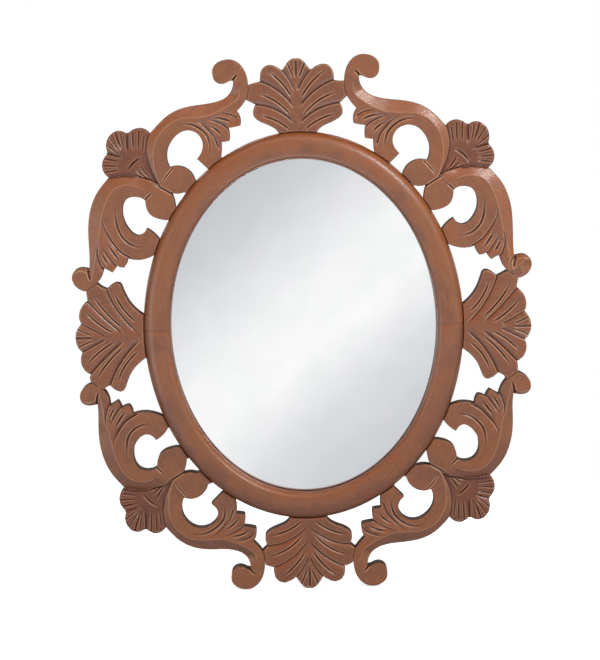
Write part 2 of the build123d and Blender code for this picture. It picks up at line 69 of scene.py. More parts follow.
# %% [markdown]
# Lengths are easiest to read in millimetres, which is how the carver measures, while Blender works in
# metres. One constant does the change. The model stands upright: x runs to the right, z up, and the
# carved front looks towards -y, so a height above the flat back is a distance towards -y.

# %% Millimetres, and the sizes taken from the CAD nodes
MM = 0.001
CORNERS = {"upper_right": (1, 1), "upper_left": (-1, 1), "lower_left": (-1, -1), "lower_right": (1, -1)}
SHELLS = ("top", "bottom", "right", "left")
board_low, board_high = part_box("corner_upper_right")
BOARD_THICKNESS = (board_high.y - board_low.y) / MM
print("board thickness:", round(BOARD_THICKNESS, 2), "mm")

# %% [markdown]
# The camera comes first, because every later choice is judged through it. The mirror is seen from
# the front and a little above, with a long lens, and the picture is turned by about one degree.

# %% Camera
VIEW_TARGET = Vector((-4.3, -10.0, -3.2)) * MM
VIEW_DISTANCE = 2215 * MM
VIEW_ELEVATION = math.radians(8.5)
PICTURE_TURN = math.radians(1.4)
LENS_MM = 106.2

towards_camera = Vector((0, -math.cos(VIEW_ELEVATION), math.sin(VIEW_ELEVATION)))
camera = bpy.data.objects.new("camera", bpy.data.cameras.new("camera"))
camera.data.lens = LENS_MM
camera.location = VIEW_TARGET + VIEW_DISTANCE * towards_camera
camera.rotation_mode = "QUATERNION"
camera.rotation_quaternion = (-towards_camera).to_track_quat("-Z", "Y") @ Quaternion(
    (0, 0, 1), -PICTURE_TURN
)
bpy.context.scene.collection.objects.link(camera)
bpy.context.scene.camera = camera
print("camera at", [round(c, 3) for c in camera.location])

# %% [markdown]
# Colours are written as the hex values one would pick from a paint chart, which are sRGB. Shaders
# count in linear light, so one function turns the one into the other.

# %% Colours
def linear(hex_colour):
    """Turn a colour written as sRGB hex into linear RGBA."""
    channels = [int(hex_colour[i:i + 2], 16) / 255 for i in (1, 3, 5)]
    return [c / 12.92 if c <= 0.04045 else ((c + 0.055) / 1.055) ** 2.4 for c in channels] + [1.0]


print("the grey #808080 is", round(linear("#808080")[0], 3), "in linear light")

# %% [markdown]
# Materials are node trees, and most of their nodes need the same three things: a type, a few settings
# and some links. One small function does that, so a material below reads like a recipe. A link given
# as a node takes its first output.

# %% Nodes
def add(tree, kind, settings=None, **links):
    """Add a node, set its properties, sockets and colour stops, and link the sockets in links."""
    node = tree.nodes.new("ShaderNode" + kind)
    for name, value in (settings or {}).items():
        if name == "stops":
            elements = node.color_ramp.elements
            while len(elements) < len(value):
                elements.new(0.5)
            for element, (place, tone) in zip(elements, value):
                element.position = place
                element.color = linear(tone) if isinstance(tone, str) else (tone, tone, tone, 1)
        elif isinstance(name, int) or name in node.inputs.keys():
            node.inputs[name].default_value = value
        else:
            setattr(node, name, value)
    for name, source in links.items():
        key = int(name[1:]) if name[0] == "_" else name.replace("_", " ")
        source = source if isinstance(source, bpy.types.NodeSocket) else source.outputs[0]
        tree.links.new(source, node.inputs[key])
    return node


def new_material(name, **constants):
    """Start a material with its shader's constant sockets; return it, its tree and its shader."""
    material = bpy.data.materials.new(name)
    material.use_nodes = True
    shader = material.node_tree.nodes["Principled BSDF"]
    for socket, value in constants.items():
        shader.inputs[socket.replace("_", " ")].default_value = value
    print("material", name)
    return material, material.node_tree, shader


def feed(tree, shader, **sources):
    """Link sources to the sockets of a shader."""
    for socket, source in sources.items():
        source = source if isinstance(source, bpy.types.NodeSocket) else source.outputs[0]
        tree.links.new(source, shader.inputs[socket.replace("_", " ")])


# %% [markdown]
# The carving is the same pattern at all four corners, cut by hand, so each corner strays from it by a
# few millimetres. The CAD outlines stray the same way. To carve at a point of a board, that point is
# first carried back to the pattern: its signs are folded into the upper right quarter, and the
# straying, blended from nine stations, is taken off.

# %% The pattern's stations and how each corner strays from them
STATIONS = {
    "top volute": (76, 290), "shoulder": (140, 247), "leaf tips": (80, 222),
    "palmette": (197, 208), "upper inner volute": (130, 180), "lower inner volute": (158, 142),
    "side bend": (234, 135), "side leaf": (200, 85), "side volute": (247, 68),
}
STATION_REACH = 15.0
STRAY = {
    "upper_right": {},
    "upper_left": {
        "top volute": (4, -2.5), "shoulder": (1.5, -0.5), "leaf tips": (4, 0.5),
        "palmette": (3.5, -1), "upper inner volute": (3, -1), "lower inner volute": (2.5, -4),
        "side bend": (2, -1), "side leaf": (1, -5), "side volute": (1, -3.5),
    },
    "lower_right": {
        "top volute": (-1, -2.5), "shoulder": (-1, 0), "palmette": (-3.5, 1),
        "upper inner volute": (-1.5, 5), "lower inner volute": (0, 2.5),
        "side bend": (-1.5, 0), "side leaf": (-3, 3), "side volute": (-2, 6),
    },
    "lower_left": {
        "top volute": (-0.5, -2), "shoulder": (1, 4), "leaf tips": (-1, 2.5), "palmette": (-2, 6),
        "upper inner volute": (-1, 8), "lower inner volute": (0, 4.5), "side bend": (-1, 3),
        "side leaf": (1.5, 6), "side volute": (-2.5, 7),
    },
}
SHELL_HALF_SPAN = 60.0
SHELL_STRAY = {
    "top": [(-2, 0), (-0.5, -1)], "bottom": [(0, 2), (0, -1)],
    "right": [(-4, 0), (-1.5, 0)], "left": [(-6, 1), (-6, 2)],
}


def corner_pattern(corner, points):
    """Carry points (x, z) of a corner board, in mm, back to the pattern."""
    folded = points * np.array(CORNERS[corner], float)
    found = folded.copy()
    for _ in range(6):
        total = np.zeros(len(points))
        shift = np.zeros_like(points)
        for station, place in STATIONS.items():
            weight = 1 / (((found - place) ** 2).sum(1) + STATION_REACH ** 2) ** 2
            total += weight
            shift += weight[:, None] * np.array(STRAY[corner].get(station, (0, 0)), float)
        found = folded - shift / total[:, None]
    return found


def shell_pattern(shell, points):
    """Carry points of a shell back to its drawn half: (from the middle line, out of the ring)."""
    upright = shell in ("top", "bottom")
    across, out = (points[:, 0], points[:, 1]) if upright else (points[:, 1], points[:, 0])
    out = out if shell in ("top", "right") else -out
    (middle_across, middle_out), (flank_across, flank_out) = SHELL_STRAY[shell]
    half = np.sign(across - middle_across)
    found = np.abs(across - middle_across)
    for _ in range(6):
        share = found / SHELL_HALF_SPAN
        found = half * (across - middle_across - share * (flank_across - middle_across))
    return np.stack([found, out - middle_out - share * (flank_out - middle_out)], 1)


largest = max(math.hypot(*shift) for strays in STRAY.values() for shift in strays.values())
print("stations:", len(STATIONS), "- largest straying:", round(largest, 1), "mm")

# %% [markdown]
# A carver's cut is a stroke: it starts somewhere, follows a curve and ends. A stroke of three points
# is drawn as the circle arc through them, and one of more points as a smooth curve. Both are cut
# into short runs, because the distance to a short straight run is easy to work out.

# %% Strokes
RUNS_PER_ARC = 24


def arc_points(start, middle, end):
    """Points along the circle arc through three points."""
    a, b, c = (complex(*point) for point in (start, middle, end))
    w = (c - a) / (b - a)
    if abs(w.imag) < 1e-6:
        return np.array([start, middle, end], float)
    centre = (b - a) * (w - abs(w) ** 2) / (2j * w.imag) + a
    sweep_mid = np.angle((b - centre) / (a - centre))
    sweep_end = np.angle((c - centre) / (a - centre))
    if sweep_mid * sweep_end < 0 or abs(sweep_end) < abs(sweep_mid):
        sweep_end -= math.copysign(2 * math.pi, sweep_end)
    spots = centre + (a - centre) * np.exp(1j * sweep_end * np.linspace(0, 1, RUNS_PER_ARC + 1))
    return np.stack([spots.real, spots.imag], 1)


def smooth_points(points, runs=6):
    """Points along a smooth curve through the given points."""
    p = np.array([points[0]] + list(points) + [points[-1]], float)
    found = []
    for p0, p1, p2, p3 in zip(p, p[1:], p[2:], p[3:]):
        for t in np.arange(runs) / runs:
            found.append(0.5 * (
                2 * p1 + (p2 - p0) * t + (2 * p0 - 5 * p1 + 4 * p2 - p3) * t ** 2
                + (3 * p1 - p0 - 3 * p2 + p3) * t ** 3
            ))
    return np.array(found + [p[-1]])


RIGHT_ANGLE_ARC = arc_points((10, 0), (10 * math.cos(math.pi / 4), 10 * math.sin(math.pi / 4)), (0, 10))
arc_length = np.linalg.norm(np.diff(RIGHT_ANGLE_ARC, axis=0), axis=1).sum()
print("a quarter arc of radius 10 measures", round(arc_length, 2), "and should be", round(5 * math.pi, 2))

# %% [markdown]
# For each point of a board the carving needs its distance to a stroke, how far along the stroke it
# lies, and on which side. A smooth step blends one level into another without a kink.

# %% Distances
def measure(points, line):
    """Distance to a line, share of its length at the nearest spot, and side (+1 to its left)."""
    lengths = np.linalg.norm(np.diff(line, axis=0), axis=1)
    starts = np.concatenate([[0], np.cumsum(lengths)])
    best = np.full(len(points), 1e9)
    share = np.zeros(len(points))
    side = np.zeros(len(points))
    for a, b, length, start in zip(line, line[1:], lengths, starts):
        run = b - a
        offset = points - a
        t = np.clip(offset @ run / length ** 2, 0, 1)
        distance = np.linalg.norm(offset - t[:, None] * run, axis=1)
        nearer = distance < best
        best[nearer] = distance[nearer]
        share[nearer] = (start + t[nearer] * length) / starts[-1]
        cross = run[0] * offset[:, 1] - run[1] * offset[:, 0]
        side[nearer] = np.sign(cross[nearer])
    return best, share, side


def inside(points, outline):
    """True for the points inside a closed outline."""
    found = np.zeros(len(points), bool)
    for a, b in zip(outline, np.roll(outline, -1, axis=0)):
        crosses = (a[1] > points[:, 1]) != (b[1] > points[:, 1])
        rise = b[1] - a[1] if b[1] != a[1] else 1e-9
        found ^= crosses & (points[:, 0] < a[0] + (points[:, 1] - a[1]) * (b[0] - a[0]) / rise)
    return found


def step(low, high, value):
    """Smooth step from 0 at low to 1 at high."""
    t = np.clip((value - low) / (high - low), 0, 1)
    return t * t * (3 - 2 * t)

# %% [markdown]
# The carving itself is made of two cuts. A gouge line is a narrow furrow that tapers to nothing at
# both ends. A lap is the step between two lobes: one lobe falls gently towards the line and the next
# one rises behind it as a steep little wall, so the lobes lie over each other like shingles. A lap
# starts at full depth where its notch meets the rim. Each cut also marks how deep in a furrow a point
# lies, and the wood is darkened there: partly stain that gathers in the furrow, partly painted shade.

# %% Two kinds of cut
GOUGE_DEPTH = 1.9
GOUGE_HALF_WIDTH = 1.45
LAP_WALL = 1.2
LAP_REACH = 6.5
START_RUN = 0.35
FADE_FROM = 0.55


def soft_v(share):
    """Furrow profile from 0 at its rim to 1 at its bottom, with a slightly rounded bottom."""
    share = np.clip(share, 0, 1)
    return 0.5 * share + 0.5 * share * share * (3 - 2 * share)


def cut(points, height, furrow, stroke, wall_side=0, depth=GOUGE_DEPTH, width=1.0, open_start=False,
        fade_from=FADE_FROM):
    """Cut a gouge line (wall_side 0), or a lap whose wall is left (1) or right (-1) of the stroke."""
    line = arc_points(*stroke) if len(stroke) == 3 else smooth_points(stroke)
    margin = LAP_REACH * width + 1
    near = ((points > line.min(0) - margin) & (points < line.max(0) + margin)).all(1)
    if not near.any():
        return
    distance, share, side = measure(points[near], line)
    taper = 1 - step(fade_from, 1.0, share)
    if not open_start:
        taper = taper * step(0.0, START_RUN, share)
    line_share = soft_v(1 - distance / (GOUGE_HALF_WIDTH * width))
    if wall_side:
        wall = 1 - step(0.0, LAP_WALL, distance)
        slope = np.clip(1 - distance / (LAP_REACH * width), 0, 1) ** 2
        profile = np.where(side == wall_side, wall, slope)
    else:
        profile = line_share
    height[near] -= depth * taper * profile
    # The furrow field darkens the wood: pooled stain together with painted shade in the cut.
    furrow[near] = np.maximum(furrow[near], taper * line_share)


print("gouge:", GOUGE_DEPTH, "mm deep,", 2 * GOUGE_HALF_WIDTH, "mm wide")

# %% [markdown]
# Each corner board holds two leafy scrolls with a palmette between them. The strokes were placed over
# the drawn outline, lobe by lobe, from the rim inwards, because a carver starts at the notch.

# %% Cuts of the corner boards, in pattern millimetres
CORNER_CUTS = [
    dict(stroke=[(98.6, 197.9), (96.3, 204.5), (96.5, 211), (99.9, 220.2), (107.5, 227.6), (117, 232.6),
                 (127, 234), (138, 232.5)], width=1.25),
    dict(stroke=[(69.4, 232.5), (78.8, 237), (92.5, 239)], width=1.3),
    dict(stroke=[(81, 217.5), (88.8, 225.8), (98, 231)], width=1.2),
    dict(stroke=[(65.8, 239), (74, 243), (86, 244.2)], wall_side=1, open_start=True, depth=1.5),
    dict(stroke=[(75.3, 226), (81.4, 231), (90.8, 235.4), (101, 238)], wall_side=-1, open_start=True),
    dict(stroke=[(87.2, 207), (91.5, 217.6), (99.1, 226.7), (107.6, 234.4), (117, 238)], wall_side=-1,
         open_start=True),
    dict(stroke=[(174, 101.6), (184.3, 101.8), (194.4, 106), (202.4, 114.9), (206, 125.5), (206.9, 137),
                 (206.7, 148)], width=1.25),
    dict(stroke=[(192, 89.4), (204.5, 97.6), (214.6, 110.6), (220.6, 122.9), (221.7, 134)], wall_side=1,
         open_start=True, depth=2.4),
    dict(stroke=[(204, 85.5), (211.2, 94.9), (218.7, 107)], width=1.3),
    dict(stroke=[(209, 80), (216.8, 90.4), (224, 103.5)], wall_side=1, open_start=True),
    dict(stroke=[(216.4, 80.4), (221.8, 88.9), (225.4, 97)], width=1.2),
    dict(stroke=[(224.3, 76.4), (228, 85.4), (229.6, 93.5), (228.8, 101), (226.5, 108.1)], wall_side=1,
         open_start=True),
    dict(stroke=[(69.6, 282), (66.5, 285.8), (63, 289.5)], open_start=True, depth=2.6, width=1.2),
    dict(stroke=[(139.6, 185), (146.6, 177.6), (153.4, 168.2)], open_start=True, depth=1.6, width=0.8),
    dict(stroke=[(172.3, 153.4), (168.6, 157.2), (164.4, 160.8)], open_start=True, depth=1.8),
    dict(stroke=[(141.6, 158), (152.7, 164.9), (165.5, 172.2)], open_start=True, depth=1.8),
    dict(stroke=[(241, 74.4), (239.8, 67.2), (238, 61.4)], open_start=True, depth=2.4, width=1.2),
]
PALMETTE_CUTS = [
    dict(stroke=[(190, 224), (189.7, 212.3), (190.4, 201)], wall_side=1, open_start=True, depth=2.6),
    dict(stroke=[(212.5, 202.8), (204.4, 200.6), (192.5, 197.2)], wall_side=1, open_start=True, depth=2.6),
    dict(stroke=[(171.2, 198.6), (178.1, 196.2), (184.6, 191), (189.2, 185.3), (192, 179.6)], depth=2.2,
         width=1.35),
    dict(stroke=[(176.2, 227), (176.7, 215.4), (177.5, 203.5)], open_start=True, depth=1.7),
    dict(stroke=[(183.2, 229), (182.8, 215.3), (182, 201.5)], open_start=True, depth=1.7),
    dict(stroke=[(170.8, 222), (172, 211.8), (173.5, 199.7)], open_start=True, depth=1.3),
    dict(stroke=[(196, 225), (195, 215), (192.3, 203.5)], open_start=True, depth=1.3),
    dict(stroke=[(202.5, 227), (199.3, 216.8), (194, 203.8)], open_start=True, depth=1.9, width=1.2),
    dict(stroke=[(209.5, 222.5), (203.4, 212.9), (195.7, 202.6)], open_start=True, depth=1.4),
    dict(stroke=[(214.5, 215.5), (206.8, 208), (196.9, 200.8)], open_start=True, depth=1.5),
    dict(stroke=[(219, 198.6), (208, 196), (195.5, 193.6)], open_start=True, depth=1.8, width=1.1),
    dict(stroke=[(220.5, 190.4), (209.9, 189.5), (196.5, 189.2)], open_start=True, depth=1.6),
    dict(stroke=[(217, 182.6), (207.9, 183.7), (196.5, 185.5)], open_start=True, depth=1.6),
    dict(stroke=[(177, 193.5), (173.4, 185.6), (162.6, 172.4)], depth=1.7, width=1.1),
    dict(stroke=[(182.6, 187), (175.1, 180), (162, 170.4)], depth=1.7, width=1.1),
    dict(stroke=[(188.5, 181), (177.9, 177.6), (162.2, 168.8)], depth=1.7, width=1.1),
]
print("corner cuts:", len(CORNER_CUTS), "palmette cuts:", len(PALMETTE_CUTS))

# %% [markdown]
# A scroll isn't flat: it has a ridge from which one facet falls steeply to the outer edge and another
# gently to the inner one. The palmette lies lower than the scrolls that hold it. The lines below are
# those ridges and edges, and the ground of each scroll ends where the other begins.

# %% Ridges and edges of the corner boards
TOP_RIDGE = smooth_points([
    (62.3, 286.5), (60.8, 273), (63.5, 262), (70.5, 256), (79.9, 249.5), (89.2, 245), (98, 241.8),
    (108, 240.8), (120, 240.6), (132, 239.3), (145, 233), (155, 221.5), (160.4, 208), (161, 195.9),
    (159.6, 183.4), (155, 169.5),
])
SIDE_RIDGE = smooth_points([
    (164.6, 161.4), (176.6, 166), (187.8, 168.8), (197, 168.2), (206.4, 164.3), (213, 157), (218.5, 145.5),
    (222, 134.5), (224.6, 121), (227.4, 108.1), (230.6, 98), (232.4, 88), (234.2, 78.4), (236.4, 68.7),
    (238.4, 61.8),
])
SIDE_VOLUTE_RIDGES = [
    arc_points((238.6, 61.3), (246, 66.6), (253.6, 74.4)), arc_points((246, 66.6), (247.8, 62.5), (249.8, 58))
]
PALMETTE_EDGE = smooth_points([
    (165, 224), (167.6, 214), (168, 203), (165.2, 190), (160.5, 178), (154, 167),
])
SIDE_SCROLL_TOP = smooth_points([(154, 167), (166, 173.4), (181, 177.3), (196, 178.3), (212, 176.8)])
BETWEEN_SCROLLS = smooth_points([
    (135, 152), (152.7, 164.9), (165.5, 172.8), (181, 177.3), (196, 178.3), (215, 176.5),
])
BEYOND_PALMETTE = [(240, 176), (240, 250), (165, 250)]
PALMETTE_FIELD = np.vstack([PALMETTE_EDGE, SIDE_SCROLL_TOP, BEYOND_PALMETTE])
FLAT_VOLUTES = [((77, 291.5), 14), ((133, 172), 16), ((155, 146.5), 16), ((250, 64.5), 13)]
SIDE_VOLUTE = (248, 65)
print("ridge points:", len(TOP_RIDGE), "and", len(SIDE_RIDGE))

# %% Facets of the scrolls
OUTER_SLOPE = 0.47
OUTER_REACH = 13.0
INNER_SLOPE = 0.07
INNER_REACH = 14.0
FACET_GROUND = (17, 26)
RIDGE_START = (0.0, 0.13)
RIDGE_END = (0.95, 1.0)
VOLUTE_EASE = (-4, 2)
VOLUTE_SLOPE = 0.24
VOLUTE_REACH = 12.0
VOLUTE_FADE = 3.0


def distance_to(points, spot):
    """Distance of points to one spot."""
    return np.hypot(points[:, 0] - spot[0], points[:, 1] - spot[1])


def scroll_facets(points, height, volute_facets):
    """Slope a scroll down from its ridge: steeply to its outer edge, gently to its inner one."""
    drop = np.zeros(len(points))
    above = measure(points, BETWEEN_SCROLLS)[2] > 0
    for ridge, own_ground in ((TOP_RIDGE, above), (SIDE_RIDGE, ~above)):
        distance, share, side = measure(points, ridge)
        outer = OUTER_SLOPE * np.minimum(distance, OUTER_REACH)
        inner = INNER_SLOPE * np.minimum(distance, INNER_REACH)
        fade = step(*RIDGE_START, share) * (1 - step(*RIDGE_END, share))
        reach = 1 - step(*FACET_GROUND, distance)
        drop = np.maximum(drop, np.where(side > 0, outer, inner) * fade * reach * own_ground)
    for centre, radius in FLAT_VOLUTES:
        ease_in, ease_out = VOLUTE_EASE
        drop *= step(radius + ease_in, radius + ease_out, distance_to(points, centre))
    height -= drop
    if not volute_facets:
        return
    nearest = np.minimum(*[measure(points, ridge)[0] for ridge in SIDE_VOLUTE_RIDGES])
    away = distance_to(points, SIDE_VOLUTE)
    height -= VOLUTE_SLOPE * nearest * (1 - step(VOLUTE_REACH, VOLUTE_REACH + VOLUTE_FADE, away))


# %% Heights of a corner board
PALMETTE_SINK = 3.6
PALMETTE_WALL = 1.1
# The next two darken the sunk palmette: all of it a little, partly for its stain and partly as painted shade
# of the recess, and a band at the foot of the scroll walls around it as a painted shadow.
PALMETTE_STAIN_AND_SHADE = 0.28
FOOT_SHADOW = 0.8
FOOT_PLACE = 1.2
FOOT_WIDTH = 1.3
SCROLL_ROUNDING = 1.0
PALMETTE_ROUNDING = 2.4


def corner_heights(corner, places):
    """Height of a corner board's front above its back, its furrows and its edge rounding, in mm."""
    points = corner_pattern(corner, places)
    height = np.full(len(points), BOARD_THICKNESS)
    furrow = np.zeros(len(points))
    scroll_facets(points, height, corner == "upper_right")
    for one_cut in CORNER_CUTS:
        cut(points, height, furrow, **one_cut)
    sunk = inside(points, PALMETTE_FIELD)
    floor = np.full(len(points), BOARD_THICKNESS - PALMETTE_SINK)
    floor_furrow = np.zeros(len(points))
    for one_cut in PALMETTE_CUTS:
        cut(points, floor, floor_furrow, **one_cut)
    edge = np.minimum(measure(points, PALMETTE_EDGE)[0], measure(points, SIDE_SCROLL_TOP)[0])
    sink = np.where(sunk, step(0, PALMETTE_WALL, edge), 0)
    # Painted shadow: a dark band in the sunk palmette along the foot of the scroll walls.
    foot_shadow = np.where(sunk, FOOT_SHADOW * np.exp(-((edge - FOOT_PLACE) / FOOT_WIDTH) ** 2), 0)
    height = height * (1 - sink) + floor * sink
    furrow = np.maximum(np.where(sunk, floor_furrow, furrow), foot_shadow)
    # The whole sunk palmette is darkened a little: partly stain, partly painted shade of the recess.
    furrow = np.maximum(furrow, np.where(sunk, PALMETTE_STAIN_AND_SHADE, 0))
    return height, furrow, np.where(sunk, PALMETTE_ROUNDING, SCROLL_ROUNDING)


# %% [markdown]
# A shell is drawn as one half, from its middle line outwards, and both halves are carved from the
# same strokes. Its laps and gouges run nearly to the middle, where a thin rib stays at full height.

# %% Cuts of the shells, in pattern millimetres
TOP_SHELL_CUTS = [
    dict(stroke=[(16, 290.3), (7.5, 279), (1.5, 266)], wall_side=1, open_start=True),
    dict(stroke=[(41, 279), (20.5, 267.5), (2, 247)], wall_side=1, open_start=True, depth=2.4),
    dict(stroke=[(47, 253.5), (23, 246.5), (2, 229.5)], wall_side=1, open_start=True, depth=2.4),
    dict(stroke=[(34.5, 291.5), (18, 278), (4.2, 257.5)], width=1.1),
    dict(stroke=[(47.5, 266.5), (25, 257), (6.2, 238.5)], width=1.1),
    dict(stroke=[(46, 241.8), (25, 235.5), (7, 222.5)], width=1.1),
    dict(stroke=[(9.5, 297.5), (6.8, 291), (3.2, 281.5)], depth=1.5, open_start=True),
    dict(stroke=[(0.6, 300), (0.3, 292), (0.2, 281)], depth=1.5, open_start=True),
]
SIDE_SHELL_CUTS = [
    dict(stroke=[(16.5, 251), (9.5, 238), (1.5, 223)], wall_side=1, open_start=True),
    dict(stroke=[(42, 242), (22.5, 224), (3, 202)], wall_side=1, open_start=True, depth=2.4),
    dict(stroke=[(55.5, 220), (30, 208), (2, 183)], wall_side=1, open_start=True, depth=2.4),
    dict(stroke=[(32.5, 247), (18.5, 234), (4.6, 213)], width=1.1),
    dict(stroke=[(51, 237), (31, 224), (9.5, 202)], width=1.1),
    dict(stroke=[(55, 212), (35, 204), (16, 186.5)], width=1.1),
    dict(stroke=[(10.5, 255), (7, 248.5), (3.4, 239)], depth=1.5, open_start=True),
    dict(stroke=[(0.6, 257), (0.3, 248), (0.2, 238)], depth=1.5, open_start=True),
]
print("cuts in half a top shell:", len(TOP_SHELL_CUTS), "and half a side shell:", len(SIDE_SHELL_CUTS))

# %% Heights of a shell
SHELL_FADE_FROM = 0.8
SHELL_ROUNDING = 1.8
SHELL_STAIN = 0.09
RIB_HALF_WIDTH = 0.9
RIB_FADE = 6
RIB_TOP = {"top": 268, "bottom": 268, "right": 226, "left": 226}


def shell_heights(shell, places):
    """Height of a shell's front above its back, its furrows and its edge rounding, in mm."""
    points = shell_pattern(shell, places)
    height = np.full(len(points), BOARD_THICKNESS)
    furrow = np.zeros(len(points))
    for one_cut in TOP_SHELL_CUTS if shell in ("top", "bottom") else SIDE_SHELL_CUTS:
        cut(points, height, furrow, fade_from=SHELL_FADE_FROM, **one_cut)
    rib = np.exp(-(points[:, 0] / RIB_HALF_WIDTH) ** 2)
    rib *= 1 - step(RIB_TOP[shell] - RIB_FADE, RIB_TOP[shell], points[:, 1])
    height += (BOARD_THICKNESS - height) * rib
    furrow = np.maximum(furrow * (1 - rib), SHELL_STAIN)
    return height, furrow, np.full(len(points), SHELL_ROUNDING)


# %% [markdown]
# The CAD board gives the outline. Two search trees are made of a merged copy of its mesh: one of the
# whole board, to ask whether a spot lies on it, and one of its upright walls, to ask how near the rim
# is. The walls are asked for above the screw and dowel holes, whose own walls don't count as rim.

# %% Look-up trees
WELD = 0.001 * MM
UPRIGHT = 0.2
ABOVE_HOLES = 11.2 * MM
WALL_LOOKUP = 12.0 * MM


def board_trees(node):
    """Trees to look up a CAD node's surface and its upright walls."""
    bm = bmesh.new()
    bm.from_mesh(nodes[node].data)
    bmesh.ops.remove_doubles(bm, verts=bm.verts, dist=WELD)
    whole = BVHTree.FromBMesh(bm)
    bm.normal_update()
    unwanted = [
        face for face in bm.faces
        if abs(face.normal.y) > UPRIGHT or min(vert.co.y for vert in face.verts) > -ABOVE_HOLES
    ]
    bmesh.ops.delete(bm, geom=unwanted, context="FACES")
    walls = BVHTree.FromBMesh(bm)
    bm.free()
    return whole, walls


# %% Unevenness, and a finished object
def waviness(places, wave):
    """Slow unevenness of a hand-worked face, between -1 and 1."""
    x, z = places[:, 0] / wave, places[:, 1] / wave
    return (np.sin(x + 1.3 * np.sin(0.7 * z)) + np.sin(1.1 * z + 1.7 * np.sin(0.8 * x + 2))) / 2


def finished(name, bm, body="frame"):
    """Make an object of a bmesh, at the origin, riding on a body of the frame."""
    mesh = bpy.data.meshes.new(name)
    bm.to_mesh(mesh)
    bm.free()
    piece = bpy.data.objects.new(name, mesh)
    bpy.context.scene.collection.objects.link(piece)
    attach(piece, body)
    return piece

# %% [markdown]
# Colour follows the shape. Crests are painted pale, partly as rubbed wear and partly as a painted
# highlight, hollows are painted dark as painted shade, and faces that look up are painted warmer, as
# painted light. Blender can work this out while it renders, but fields stored on the verts give the
# same look in every export. An edge that rises from both its ends runs over a hollow, and one that
# falls from both runs over a crest. Hard rims are left out, because their normals say nothing about
# the shape's wear or shade.

# %% Crests, hollows and upward faces
RIDGE_SCALE = 0.5 * MM
RIM_PASSES = 3
OFF_THE_BACK = 0.1 * MM


def read_field(items, name, width, kind=float):
    """Read a field of mesh items as rows of a given width."""
    values = np.zeros(len(items) * width, kind)
    items.foreach_get(name, values)
    return values.reshape(-1, width)


def mark_ridges(mesh):
    """Store two fields on the verts: ridge (crests above 0, hollows below) and upward (faces up)."""
    count = len(mesh.vertices)
    places = read_field(mesh.vertices, "co", 3)
    normals = read_field(mesh.vertices, "normal", 3)
    a, b = read_field(mesh.edges, "vertices", 2, int).T
    along = places[b] - places[a]
    along *= RIDGE_SCALE / ((along ** 2).sum(1)[:, None] + 1e-12)
    falls = -(along * normals[a]).sum(1), (along * normals[b]).sum(1)
    valence = np.maximum(np.bincount(a, minlength=count) + np.bincount(b, minlength=count), 1)
    bend = (np.bincount(a, falls[0], count) + np.bincount(b, falls[1], count)) / valence
    bend = (bend + (np.bincount(a, bend[b], count) + np.bincount(b, bend[a], count)) / valence) / 2
    hard = np.zeros(len(mesh.edges), bool)
    mesh.attributes["sharp_edge"].data.foreach_get("value", hard)
    for _ in range(RIM_PASSES):
        at_rim = np.zeros(count, bool)
        at_rim[a[hard]] = True
        at_rim[b[hard]] = True
        hard = at_rim[a] | at_rim[b]
    bend[at_rim] = 0
    # upward later paints faces that look up warmer in the stain: painted light.
    upward = np.where(places[:, 1] < -OFF_THE_BACK, normals[:, 2], 0)
    for name, values in (("ridge", np.clip(bend, -1, 1)), ("upward", upward)):
        mesh.attributes.new(name, "FLOAT", "POINT").data.foreach_set("value", values)


# %% [markdown]
# A board starts as a fine flat grid. Grid faces whose middle lies off the CAD board are deleted, the
# verts left along the border are drawn onto the CAD board's walls, and the verts next to them are
# relaxed. A grid keeps the carved surface even, which a remeshed block wouldn't.

# %% Blank of a board
GRID_STEP = 0.5 * MM
LOOK_FROM = 0.05
BORDER_MERGE = 0.12
RELAX_PASSES = 3


def trimmed_grid(bm, low, high, whole):
    """Fill a bmesh with a grid over a board's box and delete what lies off the board."""
    columns = math.ceil((high.x - low.x) / GRID_STEP)
    rows = math.ceil((high.z - low.z) / GRID_STEP)
    bmesh.ops.create_grid(bm, x_segments=columns, y_segments=rows, size=1)
    to_board = Matrix((
        ((high.x - low.x) / 2, 0, 0, (high.x + low.x) / 2),
        (0, 0, 0, 0),
        (0, (high.z - low.z) / 2, 0, (high.z + low.z) / 2),
        (0, 0, 0, 1),
    ))
    bmesh.ops.transform(bm, matrix=to_board, verts=bm.verts)
    rear = Vector((0, 1, 0))
    off = [
        face for face in bm.faces
        if whole.ray_cast(face.calc_center_median() - LOOK_FROM * rear, rear)[0] is None
    ]
    bmesh.ops.delete(bm, geom=off, context="FACES")


def draw_border(bm, walls):
    """Draw the border verts onto the CAD walls and relax their neighbours."""
    border = [vert for vert in bm.verts if vert.is_boundary]
    for vert in border:
        spot = walls.find_nearest(Vector((vert.co.x, -WALL_LOOKUP, vert.co.z)))[0]
        vert.co.x, vert.co.z = spot.x, spot.z
    bmesh.ops.remove_doubles(bm, verts=border, dist=BORDER_MERGE * GRID_STEP)
    bm.verts.ensure_lookup_table()
    near_border = [
        vert for vert in bm.verts
        if not vert.is_boundary and any(edge.other_vert(vert).is_boundary for edge in vert.link_edges)
    ]
    for _ in range(RELAX_PASSES):
        bmesh.ops.smooth_vert(
            bm, verts=near_border, factor=0.5, use_axis_x=True, use_axis_y=False, use_axis_z=True
        )


print("grid step:", round(GRID_STEP / MM, 2), "mm")

# %% [markdown]
# The front verts are raised to the heights of the carving. Near the rim they fall away in a small
# round, as a carver breaks an edge, and the whole face keeps a slow unevenness of about a tenth of a
# millimetre, because it was never planed.

# %% Front of a board
HAND_UNEVENNESS = 0.12
HAND_WAVE = 6.0
RIM_SEARCH = 6.0
ROUNDING_DEPTH = 0.8


